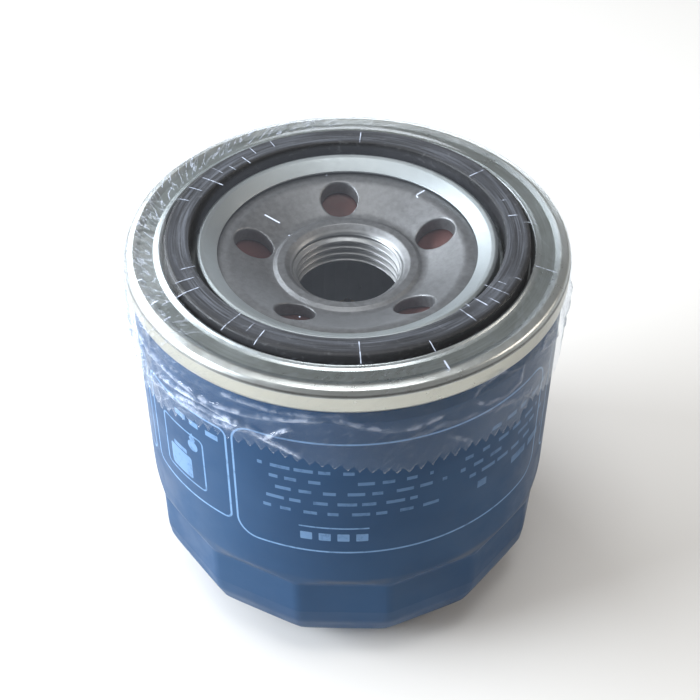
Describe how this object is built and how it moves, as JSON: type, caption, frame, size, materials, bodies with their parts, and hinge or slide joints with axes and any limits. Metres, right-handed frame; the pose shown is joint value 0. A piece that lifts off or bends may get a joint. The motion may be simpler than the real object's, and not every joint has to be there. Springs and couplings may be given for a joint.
{
  "type": "spin-on oil filter",
  "caption": "Spin-on oil filter: fluted blue can, rolled zinc seam, rubber gasket, dished plate with inlet holes and threaded centre, pleated element and clear film.",
  "frame": {"origin": "centre of the flat disc that the closed end stands on", "axes": "+Z along the thread axis, from the closed end to the threaded end; -Y towards the viewer of the picture"},
  "size_m": [0.0804, 0.0804, 0.0755],
  "materials": {
    "painted_can": "glossy enamel",
    "zinc_lid": "bright zinc-coated sheet",
    "plate_steel": "satin, lightly oiled",
    "cap_steel": "plain stamped sheet",
    "spring_steel": "bright wire",
    "gasket_rubber": "smooth moulded",
    "silicone": "matt moulded",
    "paper": "resin-treated paper",
    "adhesive": "cured",
    "compound": "cured",
    "clear_film": "clear, glossy"
  },
  "bodies": {
    "can": {"can_shell": "painted_can", "seaming_lid": "zinc_lid", "seam_sealing_compound": "compound", "base_plate": "plate_steel", "sealing_gasket": "gasket_rubber", "anti_drain_valve": "silicone", "support_spring": "spring_steel"},
    "element": {"upper_end_cap": "cap_steel", "upper_adhesive_ring": "adhesive", "lower_end_cap": "cap_steel", "lower_adhesive_ring": "adhesive", "center_tube": "cap_steel", "pleated_media": "paper", "media_seam_clip": "cap_steel", "bypass_valve_seat": "cap_steel", "bypass_spring_cage": "cap_steel", "bypass_valve_spring": "spring_steel"},
    "bypass_valve": {"bypass_valve_poppet": "cap_steel", "bypass_valve_seal": "gasket_rubber"},
    "film": {"shrink_film": "clear_film"}
  },
  "joints": [
    {"name": "film_lift", "type": "slide", "parent": "can", "child": "film", "axis": [0, 0, 1], "range_m": [0, 0.03]},
    {"name": "element_float", "type": "slide", "parent": "can", "child": "element", "axis": [0, 0, -1], "range_m": [0, 0.0015], "stiffness_N_per_m": 2500, "springref_m": -0.006, "deforming": ["support_spring"]},
    {"name": "bypass_open", "type": "slide", "parent": "element", "child": "bypass_valve", "axis": [0, 0, 1], "range_m": [0, 0.003], "stiffness_N_per_m": 900, "springref_m": -0.005, "deforming": ["bypass_valve_spring"]}
  ]
}
